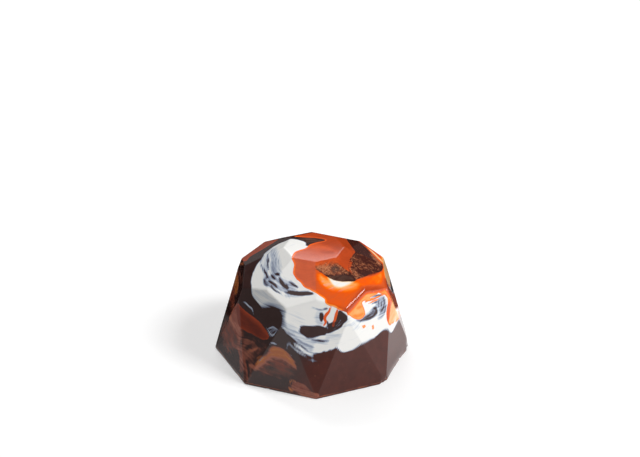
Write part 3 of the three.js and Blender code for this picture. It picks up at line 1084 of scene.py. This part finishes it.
# %% Copper shapes: outline, load, tone, softness of the edge
COPPER = [
    ([(-22.5, 1.0), (-19.5, -2.5), (-15.5, -5.5), (-14.5, -9.0), (-17.0, -12.0), (-21.5, -9.5),
      (-24.0, -6.0)], 0.66, 0.23, 1.0),
    ([(-19.0, -3.6), (-15.0, -5.4), (-15.0, -8.0), (-17.0, -9.6), (-18.6, -7.0)], 0.80, 0.42, 0.6),
    ([(-18.8, -10.5), (-17.2, -10.2), (-16.8, -13.0), (-17.2, -16.6), (-19.4, -16.0), (-19.8, -13.0)],
     0.70, 0.32, 0.5),
    ([(-18.0, -9.5), (-16.6, -9.6), (-15.6, -11.0), (-14.4, -12.4), (-13.4, -13.4), (-12.4, -14.5),
      (-10.6, -15.2), (-10.6, -16.2), (-12.6, -16.6), (-14.8, -16.9), (-16.6, -18.6), (-19.0, -18.0),
      (-18.0, -14.0)], 0.46, 0.34, 0.6),
    ([(-14.9, -17.3), (-13.0, -17.0), (-10.8, -17.0), (-9.8, -16.5), (-8.5, -17.0), (-6.8, -18.3),
      (-5.2, -20.0), (-4.7, -21.5), (-5.3, -22.5), (-7.5, -22.4), (-10.0, -21.6), (-12.5, -20.2),
      (-14.2, -19.0)], 0.60, 0.22, 0.60),
    ([(-14.9, -17.3), (-13.0, -17.0), (-10.8, -17.0), (-9.8, -16.5), (-8.5, -17.0), (-6.8, -18.3),
      (-5.2, -20.0), (-4.7, -21.5), (-6.4, -20.6), (-8.2, -19.2), (-11.5, -18.3), (-14.6, -18.4)],
     1.0, 0.52, 0.50),
    ([(-10.0, -16.6), (-8.5, -17.0), (-6.8, -18.3), (-5.2, -20.0), (-4.7, -21.5), (-5.6, -20.6),
      (-7.6, -18.8), (-9.4, -17.8)], 1.2, 0.56, 0.25),
    ([(-6.6, -24.2), (-6.0, -23.4), (-5.2, -23.3), (-3.0, -24.0), (-1.0, -25.2), (0.5, -25.5),
      (0.3, -26.1), (-2.5, -26.2), (-5.0, -25.2)], 1.1, 0.33, 0.25),
    ([(-18.4, 6.0), (-18.3, 1.0), (-18.2, -2.6), (-16.4, -4.2), (-16.2, -1.0), (-16.4, 6.0)],
     0.80, 0.28, 0.5),
    ([(-16.1, 6.5), (-16.2, 2.0), (-16.2, -0.6), (-15.0, -2.6), (-14.2, -1.0), (-14.1, 2.0),
      (-14.2, 6.5)], 1.0, 0.62, 0.35),
    ([(-22.5, -12.0), (-20.0, -10.5), (-19.0, -13.5), (-21.0, -14.5)], 0.10, 0.10, 0.4),
    ([(1.7, -7.0), (2.8, -6.5), (4.0, -6.15), (5.4, -6.0), (6.1, -6.6), (5.4, -7.4), (3.4, -7.6)],
     0.75, 0.12, 0.3),
    ([(-2.2, 2.4), (-1.0, 1.2), (0.4, 1.5), (1.6, 2.1), (0.2, 2.7), (-1.6, 2.9)], 0.75, 0.12, 0.3),
    ([(2.0, -5.2), (2.8, -4.6), (3.8, -5.0), (4.0, -6.0), (3.0, -6.4), (2.2, -6.0)], 0.85, 0.17, 0.4),
]
COPPER_GAPS = [
    [(-23.0, -11.5), (-20.0, -11.0), (-19.0, -13.0), (-21.5, -14.0)],
    [(-16.6, -12.6), (-15.4, -13.0), (-14.6, -14.0), (-15.6, -13.9)],
    [(-13.4, -14.2), (-12.0, -14.8), (-11.2, -15.8), (-12.6, -15.4)],
    [(-17.6, -15.2), (-16.8, -15.6), (-16.4, -17.6), (-17.2, -17.8)],
]
copper = nothing
copper_tone = nothing + 0.3
for points, amount, value, soft in COPPER:
    copper, copper_tone = dab(copper, copper_tone, patch(points), value, soft, amount)
for points in COPPER_GAPS:
    copper = lift(copper, patch(points), soft=0.35, amount=0.8)
tell("copper", copper)

# %% Fine lines of copper: line, width, tone
COPPER_LINES = [
    ([(-7.3, -23.9), (-6.9, -23.2), (-6.1, -23.0), (-5.3, -23.15)], 0.26, 0.88),
    ([(-7.4, -24.0), (-6.8, -24.5), (-6.0, -24.7)], 0.50, 0.74),
    ([(-12.9, 5.2), (-12.3, 3.4), (-11.6, 1.6)], 0.45, 0.60),
    ([(-13.4, 5.5), (-13.5, 2.5), (-13.2, 0.0), (-12.7, -3.0)], 0.50, 0.16),
    ([(-12.3, 0.5), (-12.2, -1.6), (-11.9, -3.4)], 0.30, 0.10),
    ([(-13.9, -16.5), (-12.8, -16.8), (-11.8, -17.4)], 0.30, 0.80),
    ([(-17.2, -12.2), (-15.6, -12.9), (-14.2, -13.6)], 0.35, 0.40),
    ([(-16.0, -14.0), (-14.6, -14.8), (-13.2, -15.2)], 0.60, 0.50),
    ([(-17.6, -12.4), (-17.4, -14.0), (-17.3, -16.4), (-17.6, -18.6)], 0.55, 0.30),
    ([(-16.4, -16.4), (-15.4, -17.2), (-14.8, -18.2)], 0.60, 0.44),
    ([(-14.4, -17.4), (-13.6, -17.2), (-12.4, -17.3)], 0.45, 0.76),
    ([(-12.6, -17.4), (-10.6, -17.5), (-9.0, -18.1), (-7.4, -19.2)], 0.20, 0.70),
    ([(-11.8, -17.9), (-9.8, -18.3), (-7.8, -19.6), (-6.2, -21.0)], 0.18, 0.40),
    ([(-9.9, -16.9), (-8.6, -17.4), (-7.0, -18.7), (-5.4, -20.6)], 0.20, 0.74),
    ([(-13.2, -18.4), (-11.0, -19.0), (-9.0, -20.2)], 0.22, 0.30),
]
for points, width, value in COPPER_LINES:
    copper, copper_tone = dab(copper, copper_tone, stroke(points, width), value, soft=0.10 + 0.3 * width)
tell("copper with its lines", copper)

# %% A smooth red-brown leaf with a bright edge, and the left end of the cap
LEAF = [
    (-14.6, -5.8), (-13.7, -7.7), (-12.8, -9.5), (-11.7, -11.2), (-10.6, -12.8), (-9.9, -14.1),
    (-9.9, -14.9), (-11.1, -14.7), (-12.3, -13.8), (-13.3, -12.6), (-14.5, -11.5), (-15.4, -10.3),
    (-16.6, -9.0), (-17.6, -7.4), (-18.2, -5.2), (-17.2, -4.7),
]
LEAF_EDGE = [(-14.3, -6.8), (-12.9, -9.6), (-11.1, -12.4), (-10.05, -14.3)]
LEAF_DARK = [(-13.6, -9.5), (-12.4, -11.6), (-11.4, -13.4), (-12.4, -13.6), (-13.8, -12.0)]
LEAF_PALE = [
    (-14.6, -5.6), (-16.0, -5.0), (-17.0, -4.6), (-18.6, -5.0), (-18.2, -7.6), (-17.0, -9.6),
    (-15.6, -10.4), (-16.0, -8.4), (-15.6, -6.6),
]
CAP_LEFT_END = [
    (-12.2, 5.5), (-11.6, 3.0), (-11.0, 2.2), (-10.4, 3.6), (-8.0, 4.4), (-5.0, 6.0), (-8.0, 9.0),
    (-11.5, 8.0),
]
orange, tone = dab(orange, tone, patch(LEAF), 0.06, soft=0.25)
orange, tone = dab(orange, tone, patch(LEAF_DARK), 0.0, soft=0.5)
orange, tone = dab(orange, tone, stroke(LEAF_EDGE, 0.5), 0.30, soft=0.35)
orange, tone = dab(orange, tone, patch(CAP_LEFT_END), 0.26, soft=0.5)
leaf_pale = patch(LEAF_PALE)
orange = lift(orange, leaf_pale, soft=0.5, amount=0.52)
copper, copper_tone = dab(copper, copper_tone, leaf_pale, 0.40, soft=0.5)
tell("orange with the leaf", orange)

# %% Silvery thin white over the dark: line, width, load
SILVER = [
    ([(5.2, -14.4), (4.5, -15.2), (3.6, -15.75), (2.3, -16.1)], 0.26, 0.80),
    ([(4.6, -13.0), (4.1, -14.2), (3.3, -15.1)], 0.24, 0.50),
    ([(2.6, -15.5), (3.5, -15.2), (4.4, -14.3), (5.0, -13.7)], 0.22, 0.48),
    ([(3.9, -12.9), (3.8, -13.8), (3.4, -14.6)], 0.20, 0.42),
    ([(-1.2, -15.4), (0.0, -15.45), (1.4, -15.4)], 0.40, 0.32),
    ([(2.15, -15.0), (2.05, -16.2)], 0.24, 0.60),
    ([(-2.35, -9.45), (-2.15, -9.95)], 0.20, 0.50),
    ([(-3.3, -9.2), (-3.1, -9.7)], 0.16, 0.40),
    ([(-14.5, -4.3), (-13.9, -4.9), (-13.3, -5.6)], 0.30, 0.42),
    ([(-13.5, -6.5), (-12.8, -7.0), (-12.4, -8.0), (-12.0, -8.7), (-12.1, -9.8)], 0.34, 0.72),
    ([(-10.0, -13.2), (-9.6, -13.9), (-9.2, -14.6), (-8.6, -14.9), (-8.0, -14.7)], 0.42, 0.82),
    ([(-9.4, -13.5), (-8.5, -13.7), (-7.8, -14.3), (-7.4, -14.7)], 0.46, 0.76),
    ([(-9.6, -14.2), (-8.9, -14.2), (-8.2, -14.4)], 0.70, 0.44),
    ([(-10.1, -15.8), (-9.1, -16.1), (-8.4, -16.6)], 0.46, 0.66),
    ([(-4.6, -17.4), (-3.6, -18.0), (-2.8, -18.6), (-1.5, -19.3), (-0.7, -19.5)], 0.42, 1.2),
    ([(-5.5, -17.4), (-4.5, -18.2), (-3.5, -18.9), (-2.3, -19.5)], 0.32, 1.0),
    ([(-6.5, -17.9), (-6.2, -17.4), (-5.8, -17.2), (-5.2, -17.35)], 0.40, 0.66),
    ([(-6.0, -18.3), (-5.7, -18.9), (-5.4, -19.3)], 0.35, 0.36),
    ([(-1.2, -19.4), (-0.9, -20.0), (-0.8, -20.6)], 0.7, 0.44),
    ([(-13.6, -17.2), (-12.9, -17.2), (-12.0, -17.0)], 0.26, 0.60),
]
SILVER_FILM = [(-8.5, -15.0), (-5.6, -15.6), (-4.4, -17.2), (-5.0, -19.6), (-7.4, -18.4), (-8.6, -16.6)]
SILVER_TIP = [(-2.6, -19.4), (0.6, -19.3), (0.4, -20.2), (-0.8, -20.8), (-2.4, -20.2)]
white = lay_lines(white, SILVER, soft=0.16)
white = lay(white, patch(SILVER_FILM), soft=0.8, amount=0.19)
white = lay(white, patch(SILVER_TIP), soft=0.6, amount=0.30)
tell("white with the silver", white)

# %% [markdown]
# ## The back
# The photograph does not show it, so it is painted in the manner of the front, with the same few moves: a
# second sweep of white runs round at mid height, orange is dragged over it from the cap, copper is dabbed
# below, and the lowest third stays dark.

# %% White on the back: line, width, load or share taken away
BACK_WHITE = [
    ([(20.6, 5.0), (17.5, 11.5), (11.5, 16.0), (4.5, 18.2), (-2.0, 18.0)], 5.2, 1.0),
    ([(2.0, 16.4), (-4.0, 16.6), (-9.0, 14.2)], 3.2, 0.62),
    ([(6.0, 20.6), (-1.0, 21.2), (-5.5, 20.2)], 0.8, 0.7),
]
BACK_DRY_LINES = [
    ([(18.0, 8.0), (14.0, 13.2), (8.0, 17.0)], 0.6, 0.8),
    ([(15.5, 14.5), (9.0, 18.4), (1.0, 19.4)], 0.45, 0.8),
    ([(8.0, 15.2), (3.0, 16.8), (-3.0, 17.2)], 0.5, 0.7),
    ([(12.6, 13.2), (8.6, 15.6), (6.6, 17.6)], 1.3, 0.95),
    ([(1.0, 17.6), (-2.4, 18.6)], 0.9, 0.9),
]
white = lay_lines(white, BACK_WHITE, soft=0.9)
white = lift_lines(white, BACK_DRY_LINES, soft=0.8)
tell("white all round", white)

# %% Orange and copper on the back: line, width, tone; outline, load, tone, softness of the edge
BACK_ORANGE = [
    ([(14.5, 5.5), (12.5, 9.0), (9.0, 12.6), (4.0, 14.4), (-1.5, 14.2), (-6.5, 12.2)], 2.6, 0.42),
    ([(13.2, 8.0), (9.6, 11.8), (4.6, 13.6)], 1.0, 0.62),
    ([(9.0, 14.2), (3.0, 15.8), (-2.5, 15.4)], 0.9, 0.80),
    ([(-3.0, 13.0), (-8.0, 13.0), (-12.0, 10.6)], 1.6, 0.30),
]
BACK_COPPER = [
    ([(-10.0, 17.5), (-6.0, 19.5), (-5.0, 22.5), (-9.5, 22.0), (-13.0, 18.5)], 0.62, 0.50, 0.9),
    ([(-19.0, 6.0), (-15.5, 12.0), (-13.0, 16.0), (-16.0, 17.0), (-19.5, 12.0)], 0.58, 0.40, 1.0),
    ([(4.0, 22.0), (9.0, 20.5), (10.5, 22.5), (6.0, 24.2)], 0.66, 0.26, 0.8),
]
for points, width, value in BACK_ORANGE:
    mark = stroke(points, width)
    orange = lay(orange, mark, soft=0.6)
    tone = tint(tone, mark, value, soft=0.7)
for points, amount, value, soft in BACK_COPPER:
    copper, copper_tone = dab(copper, copper_tone, patch(points), value, soft, amount)
tell("orange all round", orange)

# %% The thin bright line where the rim was scraped
RIM_LINE_HEIGHT = 0.36
RIM_LINE_HALF = 0.06
from_line = np.abs(HEIGHT - RIM_LINE_HEIGHT)
from_line[BASE_ROW + 1:] = FAR
rim_line = (RIM_LINE_HALF - from_line).ravel()
copper, copper_tone = dab(copper, copper_tone, rim_line, 0.60, soft=0.06, amount=0.85)
tell("copper all round", copper)

# %% [markdown]
# ## The skin's material
# Tempered chocolate sets as glossy as its mould, and the cocoa butter colours share that gloss, so one
# Principled surface covers all of it and only its colour changes. Thin paint breaks into bristle lines: a
# noise stretched along the brush is added to each load before it is turned into colour. In front the brush
# went in swirls, behind it simply went round the axis.

# %% Attributes for the material
on_back = np.zeros((ROWS, COLUMNS))
on_back[BASE_ROW + 1:] = 1
PAINT = {
    "white": white,
    "orange": orange,
    "tone": tone,
    "copper": copper,
    "copper_tone": copper_tone,
    "dust": dust,
    "scraped": on_back.ravel(),
    "smoke": smoke,
    "bristle": bristle,
    "behind": behind,
}
praline = closed_mesh("praline_skin", surface.reshape(-1, 3), grid_faces(ROWS, COLUMNS), PAINT)

# %% Close the poles and the base corners
CLOSER_THAN = 1e-4 * MM
work = bmesh.new()
work.from_mesh(praline.data)
bmesh.ops.remove_doubles(work, verts=work.verts, dist=CLOSER_THAN)
bmesh.ops.recalc_face_normals(work, faces=work.faces)
work.to_mesh(praline.data)
work.free()
triangles = sum(len(p.vertices) - 2 for p in praline.data.polygons)
print(f"{len(praline.data.vertices)} points, {triangles} triangles")

# %% Moulded tempered chocolate under brushed cocoa butter
# The polished mould gives a mirror gloss to chocolate and cocoa butter alike, so the eye sees one skin.
skin_material = bpy.data.materials.new("tempered_chocolate_brushed_cocoa_butter")
skin_material.use_nodes = True
tree = skin_material.node_tree
tree.nodes.clear()
painted = {name: add(tree, "Attribute", attribute_name=name) for name in PAINT}
load = {name: painted[name].outputs["Fac"] for name in PAINT}
place = add(tree, "TexCoord").outputs["Object"]

# %% Noises: bristle streaks, dust grains, their mottling and soft clouds
BRISTLES_ROUND = (1 / (BRISTLE_LENGTH * MM), 1 / (BRISTLE_LENGTH * MM), 1 / (BRISTLE_WIDTH * MM))
GRAIN_SIZE = 0.20
MOTTLE_SIZE = 0.455
CLOUD_SIZE = 1.43


def noise(where, size, detail, roughness):
    """Noise between 0 and 1 whose marks measure about size, in the units of where."""
    facts = {"Vector": where, "Scale": 1 / size, "Detail": detail, "Roughness": roughness}
    return add(tree, "TexNoise", facts).outputs[0]


round_the_axis = add(tree, "VectorMath", {0: place, 1: BRISTLES_ROUND}, operation="MULTIPLY").outputs[0]
streaks_in_front = noise(painted["bristle"].outputs["Vector"], 1, detail=3.0, roughness=0.65)
streaks_behind = noise(round_the_axis, 1, detail=2.0, roughness=0.5)
from_front_to_back = {0: load["behind"], 2: streaks_in_front, 3: streaks_behind}
streaks = add(tree, "Mix", from_front_to_back, data_type="FLOAT").outputs[0]
grain = noise(place, GRAIN_SIZE * MM, detail=3.0, roughness=0.6)
mottle = noise(place, MOTTLE_SIZE * MM, detail=4.0, roughness=0.65)
cloud = noise(place, CLOUD_SIZE * MM, detail=3.0, roughness=0.55)


# %% Ways to mix
def broken(paint, pattern, strength):
    """Load plus a noise, counted from its middle value, times a strength."""
    centred = add(tree, "Math", {0: pattern, 1: 0.5}, operation="SUBTRACT").outputs[0]
    return add(tree, "Math", {0: centred, 1: strength, 2: paint}, operation="MULTIPLY_ADD").outputs[0]


def over(under, colour, share):
    """Colour laid over what is under it, where share is 1."""
    return add(tree, "Mix", {0: share, 6: under, 7: colour}, data_type="RGBA").outputs[2]


def between(value, start, end):
    """Smooth 0 to 1 as value goes from start to end."""
    facts = {"Value": value, "From Min": start, "From Max": end}
    return add(tree, "MapRange", facts, interpolation_type="SMOOTHSTEP").outputs[0]


def ramp(value, stops):
    """Colour that runs through the stops as value rises."""
    return add(tree, "ValToRGB", {0: value}, stops=stops).outputs[0]


# How much of which noise each load and tone gets, in this order.
UNEVEN = {
    "copper": [(streaks, 0.60), (cloud, 0.80)],
    "copper_tone": [(streaks, 0.40), (cloud, 0.30)],
    "dust": [(mottle, 1.9)],
    "white": [(streaks, 0.85)],
    "orange": [(streaks, 0.40)],
    "tone": [(cloud, 0.10), (streaks, 0.12)],
}


def uneven(name):
    """A load or a tone with its noises added."""
    value = load[name]
    for pattern, strength in UNEVEN[name]:
        value = broken(value, pattern, strength)
    return value


# %% Dark chocolate, plain and smoky, then copper and dust over it
# The loads at which a paint starts to show, and at which it hides what is under it.
COPPER_SHOWS = (0.20, 0.85)
DUST_SHOWS = (0.25, 1.0)
CLEAR_CHOCOLATE = [(0.3, "#471a11"), (0.7, "#522016")]
SMOKY_CHOCOLATE = [(0.3, "#38221f"), (0.7, "#3e2927")]
COPPER_COLOURS = [
    (0.0, "#40261f"), (0.14, "#5c4138"), (0.28, "#7c3a2a"), (0.42, "#a5614d"), (0.60, "#ad5f30"),
    (0.78, "#c4834e"), (0.95, "#e0c4a0"),
]
DUST_COLOURS = [(0.36, "#8a442c"), (0.50, "#b06a4a"), (0.64, "#d08a5e")]

colour = over(ramp(cloud, CLEAR_CHOCOLATE), ramp(cloud, SMOKY_CHOCOLATE), load["smoke"])
copper_share = between(uneven("copper"), *COPPER_SHOWS)
colour = over(colour, ramp(uneven("copper_tone"), COPPER_COLOURS), copper_share)
colour = over(colour, ramp(grain, DUST_COLOURS), between(uneven("dust"), *DUST_SHOWS))

# %% White and orange cocoa butter on top
# Where white is thin its ramp is blue-grey, because thin white over dark scatters blue light more.
WHITE_SHOWS = (0.26, 0.46)
ORANGE_SHOWS = (0.36, 0.60)
WHITE_COLOURS = [
    (0.30, "#4b4650"), (0.46, "#6f7285"), (0.60, "#a3adc0"), (0.74, "#d4d9df"), (0.90, "#f0efec"),
]
ORANGE_COLOURS = [
    (0.0, "#6a2413"), (0.25, "#9a3a1a"), (0.42, "#c0491f"), (0.52, "#d85a28"), (0.62, "#f05a08"),
    (0.68, "#ff6e08"), (0.75, "#ff9238"), (0.84, "#ffc07c"), (0.92, "#ffe0bc"), (1.0, "#f8f6f2"),
]

white_load = uneven("white")
colour = over(colour, ramp(white_load, WHITE_COLOURS), between(white_load, *WHITE_SHOWS))
orange_share = between(uneven("orange"), *ORANGE_SHOWS)
colour = over(colour, ramp(uneven("tone"), ORANGE_COLOURS), orange_share)

# %% One glossy surface
GLOSSY = 0.10
SCRAPED = 0.50
COCOA_BUTTER_IOR = 1.47
GLOSS_LEVEL = 0.40
RIPPLE_DEPTH = 0.2
RIPPLE_STRENGTH = 0.015

bump = {"Height": cloud, "Strength": RIPPLE_STRENGTH, "Distance": RIPPLE_DEPTH * MM}
ripple = add(tree, "Bump", bump).outputs[0]
gloss = {"Value": load["scraped"], "To Min": GLOSSY, "To Max": SCRAPED}
roughness = add(tree, "MapRange", gloss).outputs[0]
shader = add(tree, "BsdfPrincipled", {"Base Color": colour, "Roughness": roughness, "Normal": ripple})
shader.inputs["IOR"].default_value = COCOA_BUTTER_IOR
shader.inputs["Specular IOR Level"].default_value = GLOSS_LEVEL
add(tree, "OutputMaterial", {"Surface": shader.outputs[0]})
praline.data.materials.append(skin_material)
print(f"{skin_material.name}: {len(tree.nodes)} nodes")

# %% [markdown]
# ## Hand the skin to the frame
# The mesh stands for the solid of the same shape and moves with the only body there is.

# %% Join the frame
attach(praline, "root")
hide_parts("praline")
